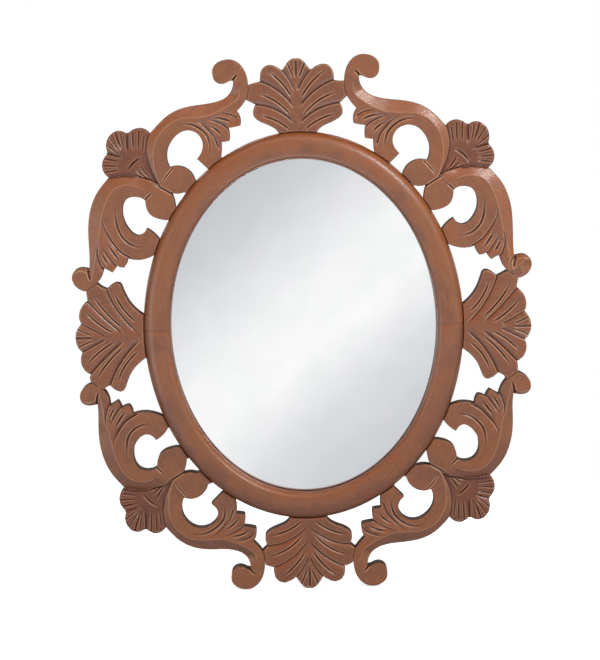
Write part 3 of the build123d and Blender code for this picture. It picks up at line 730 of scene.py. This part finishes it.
def raise_front(bm, heights, key, walls):
    """Raise a blank to its carved heights, note its furrows, and return its lowest front height."""
    places = np.array([(vert.co.x, vert.co.z) for vert in bm.verts]) / MM
    height, furrow, rounding = heights(key, places)
    rim = np.array([
        walls.find_nearest(Vector((x * MM, -WALL_LOOKUP, z * MM)), RIM_SEARCH * MM)[3] or RIM_SEARCH * MM
        for x, z in places
    ]) / MM
    height -= rounding * (1 - np.sqrt(1 - np.clip(1 - rim / rounding, 0, 1) ** 2)) * ROUNDING_DEPTH
    height += HAND_UNEVENNESS * waviness(places, HAND_WAVE) - HAND_UNEVENNESS
    layer = bm.verts.layers.float["furrow"]
    for vert, y, groove in zip(bm.verts, height, furrow):
        vert.co.y = -y * MM
        vert[layer] = groove
    return height.min()


# %% [markdown]
# The border is then extruded to the back and filled. The walls are marked as sawn, for their duller
# stain, and the grain of the board is a turned copy of its coordinates, since each board was cut with
# its grain along its own length.

# %% Walls, back and grain of a board
SHARP_WALL = math.radians(50)


def close_board(bm, grain_turn):
    """Extrude the border to the back, fill it, and store the sawn walls and the grain."""
    furrow = bm.verts.layers.float["furrow"]
    grain = bm.verts.layers.float_vector["grain"]
    sawn = bm.faces.layers.float["sawn"]
    border_edges = [edge for edge in bm.edges if edge.is_boundary]
    for item in bmesh.ops.extrude_edge_only(bm, edges=border_edges)["geom"]:
        if isinstance(item, bmesh.types.BMVert):
            item.co.y = 0
            item[furrow] = 0.0
        elif isinstance(item, bmesh.types.BMFace):
            item[sawn] = 1.0
    back_edges = [edge for edge in bm.edges if edge.is_boundary]
    for face in bmesh.ops.contextual_create(bm, geom=back_edges)["faces"]:
        face[sawn] = 0.0
    along_grain = Matrix.Rotation(math.radians(grain_turn), 3, "Y")
    for vert in bm.verts:
        vert[grain] = along_grain @ vert.co
    bmesh.ops.recalc_face_normals(bm, faces=bm.faces)
    for face in bm.faces:
        face.smooth = True
    for edge in border_edges + back_edges:
        edge.smooth = edge.calc_face_angle(0) < SHARP_WALL


# %% One carved board
def carved_board(name, node, heights, key, grain_turn):
    """Carve one board over its CAD node. Its grain runs grain_turn degrees from upright."""
    bm = bmesh.new()
    bm.verts.layers.float.new("furrow")
    bm.verts.layers.float_vector.new("grain")
    bm.faces.layers.float.new("sawn")
    whole, walls = board_trees(node)
    trimmed_grid(bm, *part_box(node), whole)
    draw_border(bm, walls)
    lowest = raise_front(bm, heights, key, walls)
    close_board(bm, grain_turn)
    piece = finished(name, bm)
    mark_ridges(piece.data)
    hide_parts(node)
    print(name, "faces", len(piece.data.polygons), "lowest front", round(lowest, 2), "mm")
    return piece


# %% Carve the boards
GRAIN_TURN = {"upper_right": 38, "upper_left": -35, "lower_left": 31, "lower_right": -40,
              "top": 4, "bottom": -3, "right": 86, "left": 93}
boards = []
for corner in CORNERS:
    boards.append(carved_board(
        f"scroll_board_{corner}", f"corner_{corner}", corner_heights, corner, GRAIN_TURN[corner]
    ))
for shell in SHELLS:
    boards.append(carved_board(
        f"carved_{shell}_shell", f"{shell}_shell", shell_heights, shell, GRAIN_TURN[shell]
    ))

# %% [markdown]
# The ring is one moulding bent round an oval. Its section is drawn once, as a loop of verts, and spun
# through a quarter turn about a circle. Each vert then moves from the circle to the oval that lies
# its own inset outside the glass opening, so the moulding keeps its width all the way round. The
# crown is slightly uneven, because it was shaped with a spokeshave and not a machine.

# %% Section and sizes of the ring
SIGHT_X = 151.0
SIGHT_Z = 191.0
RING_SECTION = [
    (0, 9.8), (0, 14.4), (0.2, 16.5), (0.8, 18.8), (2.0, 20.9), (3.7, 22.3), (6.0, 23.1),
    (9.0, 23.5), (12.5, 23.7), (16.5, 23.6), (20.0, 23.1), (23.0, 22.2), (25.5, 20.7), (27.5, 18.5),
    (29.2, 15.8), (30.5, 13.4), (30.5, 0), (8, 0), (8, 9.8),
]
FIRST_STRAIGHT_RUN = 15
SPIN_RADIUS = 1.0
MEAN_RING_RADIUS = 185.0
RING_STEPS = 110
RING_UNEVENNESS = 0.05
RING_WAVE = 9.0
UNEVEN_ABOVE = 12.0
SHARP_RING = math.radians(40)
print("ring section:", len(RING_SECTION), "points,", max(height for _, height in RING_SECTION), "mm high")


# %% Ring quarters
def bend_to_oval(vert, side, rise, grain):
    """Move a spun vert from the circle to the oval, and store the run of the grain there."""
    turn = math.atan2(vert.co.z, vert.co.x)
    inset = math.hypot(vert.co.x, vert.co.z) - SPIN_RADIUS
    x = (SIGHT_X * MM + inset) * math.cos(turn) * side
    z = (SIGHT_Z * MM + inset) * math.sin(turn) * rise
    if vert.co.y < -UNEVEN_ABOVE * MM:
        wave = waviness(np.array([[x / MM, z / MM]]), RING_WAVE)[0]
        vert.co.y += RING_UNEVENNESS * (1 + wave) * MM
    vert.co.x, vert.co.z = x, z
    vert[grain] = (inset * side, vert.co.y, turn * MEAN_RING_RADIUS * MM + rise)


def ring_quarter(corner):
    """One quarter of the ring, closed at both ends."""
    side, rise = CORNERS[corner]
    bm = bmesh.new()
    grain = bm.verts.layers.float_vector.new("grain")
    start = [bm.verts.new((SPIN_RADIUS + inset * MM, -height * MM, 0)) for inset, height in RING_SECTION]
    edges = [bm.edges.new((a, b)) for a, b in zip(start, start[1:] + start[:1])]
    bmesh.ops.subdivide_edges(bm, edges=edges[:1] + edges[FIRST_STRAIGHT_RUN:], cuts=1)
    bmesh.ops.spin(
        bm, geom=bm.verts[:] + bm.edges[:], cent=(0, 0, 0), axis=(0, -1, 0), angle=math.pi / 2,
        steps=RING_STEPS,
    )
    for vert in bm.verts:
        bend_to_oval(vert, side, rise, grain)
    ends = [edge for edge in bm.edges if edge.is_boundary]
    bmesh.ops.holes_fill(bm, edges=ends, sides=0)
    bmesh.ops.recalc_face_normals(bm, faces=bm.faces)
    for face in bm.faces:
        face.smooth = True
    for edge in bm.edges:
        if edge.calc_face_angle(0) > SHARP_RING:
            edge.smooth = False
    piece = finished(f"moulded_ring_{corner}", bm)
    mark_ridges(piece.data)
    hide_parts(f"ring_{corner}")
    print(piece.name, "faces", len(piece.data.polygons))
    return piece


rings = [ring_quarter(corner) for corner in CORNERS]

# %% [markdown]
# The frame's wood is a plain hardwood under a brown stain and a satin lacquer. The stain is nearly
# opaque, so grain shows only as fine darker streaks and pores. It gathers in the furrows, which turn
# dark, partly from that stain and partly from painted shade, and the sawn walls drank more of it and
# stayed dull. Crests get a painted highlight on top of their wear, and faces that look up a painted
# warmth. The lacquer gives a soft coat whose bumps catch small glints. The real pores are finer than
# the picture can show, so they are drawn at 1.3 mm.

# %% Colour of the stained wood
PATCH_SIZE = 30 * MM
GRAIN_SIZE = (2.2 * MM, 6 * MM, 16 * MM)
PORE_SIZE = 1.3 * MM
DRIP_SIZE = 2.6 * MM


def stained_colour(tree, where, grain, pores):
    """Stain over grain and pores: pale crests (wear and painted highlight), dark furrows (pooled stain and
    painted shade), warmer tops (painted light), dull where sawn.
    """
    furrow, ridge, upward, sawn = (
        add(tree, "Attribute", {"attribute_name": name}).outputs["Fac"]
        for name in ("furrow", "ridge", "upward", "sawn")
    )
    patches = add(
        tree, "TexNoise", {"Scale": 1 / PATCH_SIZE, "Detail": 4.0, "Roughness": 0.6}, Vector=where
    )
    # Painted light: faces that look up get the warmer, more orange end of the stain, over random patches of
    # tone.
    tone_and_painted_warmth = add(tree, "Math", {"operation": "MULTIPLY_ADD", 1: 0.95}, _0=upward, _2=patches)
    stain = add(tree, "ValToRGB", {
        "stops": [(0.28, "#76452c"), (0.52, "#864f2f"), (0.74, "#8a4c23"), (0.98, "#8d4918")],
    }, Fac=tone_and_painted_warmth)
    streak = add(tree, "ValToRGB", {"stops": [(0.32, 0.74), (0.52, 1.0), (0.72, 1.10)]}, Fac=grain)
    pore = add(tree, "ValToRGB", {"stops": [(0.30, 0.80), (0.5, 0.98), (0.70, 1.08)]}, Fac=pores)
    # Crests are painted pale: partly rubbed wear, partly a painted highlight on the edges.
    wear_and_painted_highlight = add(tree, "MapRange", {"From Min": 0.02, "From Max": 0.14, "To Max": 0.8}, Value=ridge)
    # Hollows are painted dark as painted shade; the furrow field adds stain pooled in the cuts together with
    # painted shade in them.
    painted_hollow_shade = add(tree, "MapRange", {"From Min": -0.03, "From Max": -0.24}, Value=ridge)
    pooled_stain_and_shade = add(tree, "Math", {"operation": "MAXIMUM"}, _0=furrow, _1=painted_hollow_shade)
    dark = add(tree, "ValToRGB", {
        "stops": [(0.0, "#ffffff"), (0.35, "#c8b09f"), (1.0, "#765a48")],
    }, Fac=pooled_stain_and_shade)
    saw_marks = add(tree, "ValToRGB", {"stops": [(0.35, "#33251c"), (0.6, "#4c382c")]}, Fac=grain)
    over = {"data_type": "RGBA", "blend_type": "MULTIPLY"}
    body = add(tree, "Mix", {**over, 0: 0.75}, _6=stain, _7=streak).outputs[2]
    body = add(tree, "Mix", {**over, 0: 1.0}, _6=body, _7=pore).outputs[2]
    body = add(tree, "Mix", {"data_type": "RGBA", 7: linear("#d8ad88")}, _0=wear_and_painted_highlight, _6=body).outputs[2]
    body = add(tree, "Mix", {**over, 0: 1.0}, _6=body, _7=dark).outputs[2]
    body = add(tree, "Mix", {"data_type": "RGBA"}, _0=sawn, _6=body, _7=saw_marks).outputs[2]
    return body, sawn


# %% Stained and lacquered wood
def stained_wood():
    """Hardwood carved by hand, stained brown and lacquered: satin fronts, dull sawn walls."""
    material, tree, shader = new_material(
        "stained_lacquered_hardwood", IOR=1.5, Coat_Roughness=0.17
    )
    where = add(tree, "Attribute", {"attribute_name": "grain"}).outputs["Vector"]
    along = add(tree, "Mapping", {"Scale": [1 / size for size in GRAIN_SIZE]}, Vector=where)
    grain = add(
        tree, "TexNoise", {"Scale": 1.0, "Detail": 5.0, "Roughness": 0.65, "Distortion": 0.6}, Vector=along
    )
    pores = add(tree, "TexNoise", {"Scale": 1 / PORE_SIZE, "Detail": 3.0, "Roughness": 0.6}, Vector=where)
    drips = add(tree, "TexNoise", {"Scale": 1 / DRIP_SIZE, "Detail": 4.0, "Roughness": 0.7}, Vector=where)
    colour, sawn = stained_colour(tree, where, grain, pores)
    dull = add(tree, "Math", {"operation": "MULTIPLY_ADD", 1: 0.25, 2: 0.36}, _0=sawn)
    relief = add(tree, "Math", {"operation": "MULTIPLY_ADD", 1: 0.5}, _0=grain, _2=pores)
    feed(
        tree, shader,
        Base_Color=colour,
        Roughness=add(tree, "Math", {"operation": "MULTIPLY_ADD", 1: 0.25}, _0=pores, _2=dull),
        Normal=add(tree, "Bump", {"Strength": 0.5, "Distance": 0.35 * MM}, Height=relief),
        Coat_Normal=add(tree, "Bump", {"Strength": 0.55, "Distance": 0.5 * MM}, Height=drips),
        Coat_Weight=add(tree, "MapRange", {"To Min": 0.32, "To Max": 0.0}, Value=sawn),
        Specular_IOR_Level=add(tree, "MapRange", {"To Min": 0.5, "To Max": 0.1}, Value=sawn),
    )
    return material


wood = stained_wood()
for piece in boards + rings:
    piece.data.materials.append(wood)

# %% [markdown]
# The mirror is a pane of float glass with silver on its back. The two are separate solids, as in the
# real one, so the glass gets a refracting shader and the silver behind it a bare metal one. Float
# glass cools on molten tin, so it is flat, clear and a trace green in thick spots. The silver is laid
# on wet and backed with paint: it reflects nearly everything and hardly scatters.

# %% Glass and silver
MELT_SIZE = 60 * MM
CLOUD_SIZE = 45 * MM


def float_glass():
    """Float glass, cast flat on molten tin: clear, with a green trace too faint to name."""
    material, tree, shader = new_material("float_glass", Roughness=0.0, IOR=1.52, Transmission_Weight=1.0)
    where = add(tree, "TexCoord").outputs["Object"]
    melt = add(tree, "TexNoise", {"Scale": 1 / MELT_SIZE, "Detail": 2.0}, Vector=where)
    feed(tree, shader, Base_Color=add(
        tree, "ValToRGB", {"stops": [(0.3, "#fcfefd"), (0.7, "#ffffff")]}, Fac=melt
    ))
    return material


def silver_coat():
    """Silver laid on the glass from solution: a near perfect mirror with a breath of cloud."""
    material, tree, shader = new_material("silver_mirror_coat", Metallic=1.0)
    where = add(tree, "TexCoord").outputs["Object"]
    cloud = add(tree, "TexNoise", {"Scale": 1 / CLOUD_SIZE, "Detail": 3.0}, Vector=where)
    feed(
        tree, shader,
        Base_Color=add(tree, "ValToRGB", {"stops": [(0.3, "#f9f8f9"), (0.7, "#fdfcfd")]}, Fac=cloud),
        Roughness=add(tree, "MapRange", {"To Min": 0.004, "To Max": 0.014}, Value=cloud),
    )
    return material


def dress(material, *names):
    """Give CAD nodes a material."""
    for name in names:
        nodes[name].data.materials.clear()
        nodes[name].data.materials.append(material)


dress(float_glass(), "mirror_glass")
dress(silver_coat(), "mirror_silvering")

# %% [markdown]
# Glass and silver touch, and two surfaces in one place render black. A live Displace draws the silver
# in by a few hundredths of a millimetre, which nobody can see and which leaves the CAD mesh alone.

# %% Clearance between glass and silver
SILVER_CLEARANCE = 0.03 * MM
weld = nodes["mirror_silvering"].modifiers.new("weld", "WELD")
weld.merge_threshold = WELD
shrink = nodes["mirror_silvering"].modifiers.new("clearance_to_glass", "DISPLACE")
shrink.strength = -SILVER_CLEARANCE
shrink.mid_level = 0.0
print("silver drawn in by", SILVER_CLEARANCE / MM, "mm")

# %% [markdown]
# The back holds plain things: a sheet of hardboard, turn buttons and screws of zinc-plated steel, a
# strap with its D ring, and two rubber bumpers. Hardboard is pressed wood fibre, so it is matt brown
# felt to the eye. Zinc plating comes out of its bath as a soft grey shine with faint clouds. Moulded
# rubber is nearly black and dusty, and the dowels and tongues are bare wood that no stain reached.

# %% Hardboard, plated steel, rubber and bare wood
def two_tone(name, size, dark, light, noise, places=(0.3, 0.7), **constants):
    """Material whose colour runs between two tones over a noise; return its parts and the noise."""
    material, tree, shader = new_material(name, **constants)
    where = add(tree, "TexCoord").outputs["Object"]
    pattern = add(tree, "TexNoise", {"Scale": 1 / size, **noise}, Vector=where)
    feed(tree, shader, Base_Color=add(
        tree, "ValToRGB", {"stops": list(zip(places, (dark, light)))}, Fac=pattern
    ))
    return material, tree, shader, pattern


def hardboard():
    """Pressed wood fibre with one smooth face: matt, mottled brown, with a felt-like relief."""
    fibre = {"Detail": 8.0, "Roughness": 0.7, "Distortion": 1.5}
    material, tree, shader, fibres = two_tone(
        "hardboard", 3 * MM, "#5c4029", "#7d5b3c", fibre, Roughness=0.75
    )
    feed(tree, shader, Normal=add(tree, "Bump", {"Strength": 0.4, "Distance": 0.2 * MM}, Height=fibres))
    return material


def zinc_plate():
    """Steel pressed, then plated with zinc in a bath: soft grey shine with faint clouds."""
    material, tree, shader, clouds = two_tone(
        "zinc_plated_steel", 4 * MM, "#a3a5a4", "#c6c5bd", {"Detail": 4.0}, Metallic=1.0
    )
    feed(tree, shader, Roughness=add(tree, "MapRange", {"To Min": 0.28, "To Max": 0.48}, Value=clouds))
    return material


def bumper_rubber():
    """Moulded black rubber: matt and a little dusty."""
    return two_tone(
        "bumper_rubber", 2 * MM, "#1b1b1c", "#2c2c2d", {"Detail": 3.0}, places=(0.4, 0.8), Roughness=0.7
    )[0]


def bare_hardwood():
    """Turned dowels and sawn tongues without stain: pale wood with short grain."""
    return two_tone("bare_hardwood", 1.5 * MM, "#a98357", "#c9a877", {"Detail": 4.0}, Roughness=0.65)[0]


buttons = [name for name in nodes if name.startswith("turn_button_")]
dress(zinc_plate(), "button_screws", "hanger_strap", "hanger_ring", "hanger_screws", *buttons)
dress(hardboard(), "backing_board")
dress(bumper_rubber(), "wall_bumpers")
dress(bare_hardwood(), "frame_dowels", "joint_tongues")

# %% [markdown]
# Pressed and plated steel never has a knife edge. The CAD shapes are right, so they stay, and a live
# Weld and Bevel take their hard edges off without touching the CAD mesh.

# %% Eased edges of the metal pieces
EDGE_ROUND = 0.15 * MM
HARD_EDGE = math.radians(40)


def ease_edges(name):
    """Weld a CAD node and round its edges a little, as live modifiers."""
    weld = nodes[name].modifiers.new("weld", "WELD")
    weld.merge_threshold = WELD
    bevel = nodes[name].modifiers.new("bevel", "BEVEL")
    bevel.width = EDGE_ROUND
    bevel.segments = 2
    bevel.limit_method = "ANGLE"
    bevel.angle_limit = HARD_EDGE


for name in buttons + ["button_screws", "hanger_strap", "hanger_screws"]:
    ease_edges(name)
print("eased pieces:", len(buttons) + 3)

# %% [markdown]
# The studio is plain: a white floor just under the lowest scrolls and a pale card behind the camera.
# The card is what the mirror shows. It runs from grey at one corner through nearly white back to
# grey, as a lit studio wall does, so it is drawn as a slanted gradient in its own coordinates.

# %% Stage pieces
FLOOR_WIDTH = 1.6
FLOOR_FRONT = -0.36
FLOOR_BACK = 0.5
FLOOR_GAP = 0.2 * MM
FLOOR_LIFT = 0.74
WALL_AWAY = -3.0
WALL_SIZE = (4.4, 4.6)
WALL_RISE = 0.1
GRADIENT_SLANT = 0.82
GRADIENT_RUN = {"From Min": -0.45, "From Max": 1.25}


def flat_stage(name, centre, size, tilt, material):
    """Flat stage piece of a width and depth about a centre, tilted about x."""
    bm = bmesh.new()
    bmesh.ops.create_grid(bm, x_segments=1, y_segments=1, size=0.5)
    turn = Matrix.Rotation(math.radians(tilt), 4, "X")
    place = Matrix.Translation(centre) @ turn @ Matrix.Diagonal((*size, 1, 1))
    bmesh.ops.transform(bm, matrix=place, verts=bm.verts)
    mesh = bpy.data.meshes.new(name)
    bm.to_mesh(mesh)
    bm.free()
    mesh.materials.append(material)
    piece = bpy.data.objects.new(name, mesh)
    bpy.context.scene.collection.objects.link(piece)
    print("stage:", name, size, "m")


def white_floor():
    """Painted studio floor: matt white, lifted for the camera so that only shadows stay grey."""
    material, tree, shader = new_material(
        "white_floor", Base_Color=(0.86, 0.86, 0.86, 1), Roughness=0.9, Specular_IOR_Level=0.0,
        Emission_Color=(1, 1, 1, 1),
    )
    seen = add(tree, "LightPath").outputs["Is Camera Ray"]
    feed(tree, shader, Emission_Strength=add(
        tree, "Math", {"operation": "MULTIPLY", 1: FLOOR_LIFT}, _0=seen
    ))
    return material


def studio_wall():
    """Card behind the camera: white to the camera, a soft diagonal gradient to the mirror."""
    material, tree, shader = new_material("studio_wall")
    tree.nodes.remove(shader)
    split = add(tree, "SeparateXYZ", Vector=add(tree, "TexCoord").outputs["Object"])
    slant = add(tree, "Math", {"operation": "MULTIPLY", 1: GRADIENT_SLANT}, _0=split.outputs["X"])
    slant = add(tree, "Math", {"operation": "SUBTRACT"}, _0=slant, _1=split.outputs["Z"])
    tone = add(tree, "ValToRGB", {"stops": [
        (0.0, "#acafb5"), (0.30, "#d6d8db"), (0.47, "#fbfbfc"), (0.58, "#ffffff"), (0.70, "#e4e5e8"),
        (1.0, "#b9bbc0"),
    ]}, Fac=add(tree, "MapRange", GRADIENT_RUN, Value=slant))
    glow = add(tree, "Emission", Color=tone)
    white = add(tree, "Emission", {"Color": (1, 1, 1, 1)})
    seen = add(tree, "LightPath").outputs["Is Camera Ray"]
    mix = add(tree, "MixShader", _0=seen, _1=glow, _2=white)
    tree.links.new(mix.outputs[0], tree.nodes["Material Output"].inputs["Surface"])
    return material


flat_stage(
    "floor", (0, (FLOOR_FRONT + FLOOR_BACK) / 2, cad_low.z - FLOOR_GAP),
    (FLOOR_WIDTH, FLOOR_BACK - FLOOR_FRONT), 0, white_floor(),
)
flat_stage("studio_wall", (0, WALL_AWAY, WALL_RISE), WALL_SIZE, -90, studio_wall())

# %% [markdown]
# The world stays dim as a light, so that the lamps shape the carving. To the camera, and in what
# metal and glass show, it is plain white.

# %% World
WORLD_LIGHT = 0.30
world = bpy.data.worlds.new("studio_world")
bpy.context.scene.world = world
world.use_nodes = True
tree = world.node_tree
background = tree.nodes["Background"]
background.inputs["Color"].default_value = (1, 1, 1, 1)
seen = add(tree, "LightPath")
white = seen.outputs["Is Camera Ray"]
for ray in ("Is Transmission Ray", "Is Glossy Ray"):
    white = add(tree, "Math", {"operation": "MAXIMUM"}, _0=white, _1=seen.outputs[ray])
feed(tree, background, Strength=add(tree, "MapRange", {"To Min": WORLD_LIGHT, "To Max": 1.0}, Value=white))
print("world light:", WORLD_LIGHT)

# %% [markdown]
# A small lamp high at the right draws the glints and the dark sides of the furrows. Wide dim ones at
# the left, above and below fill the shadows, and one behind lights the back when it is looked at.

# %% Lamps: place, width and height in metres, power in watts
LAMPS = {
    "lamp_right": ((1.62, -1.80, 1.75), (0.55, 0.55), 56),
    "lamp_top": ((-0.4, -0.9, 1.9), (1.4, 0.8), 4),
    "lamp_left": ((-1.9, -1.6, -0.3), (1.3, 1.3), 12),
    "lamp_low": ((0.1, -1.7, -1.5), (1.8, 1.0), 19),
    "lamp_rear": ((-0.9, 2.2, 1.1), (1.5, 1.5), 16),
}
for name, (place, size, power) in LAMPS.items():
    lamp = bpy.data.lights.new(name, "AREA")
    lamp.shape = "RECTANGLE"
    lamp.size, lamp.size_y = size
    lamp.energy = power
    piece = bpy.data.objects.new(name, lamp)
    piece.location = place
    piece.rotation_mode = "QUATERNION"
    piece.rotation_quaternion = (-Vector(place)).to_track_quat("-Z", "Y")
    bpy.context.scene.collection.objects.link(piece)
print("lamps:", len(LAMPS))

bpy.context.scene.view_settings.view_transform = "Standard"
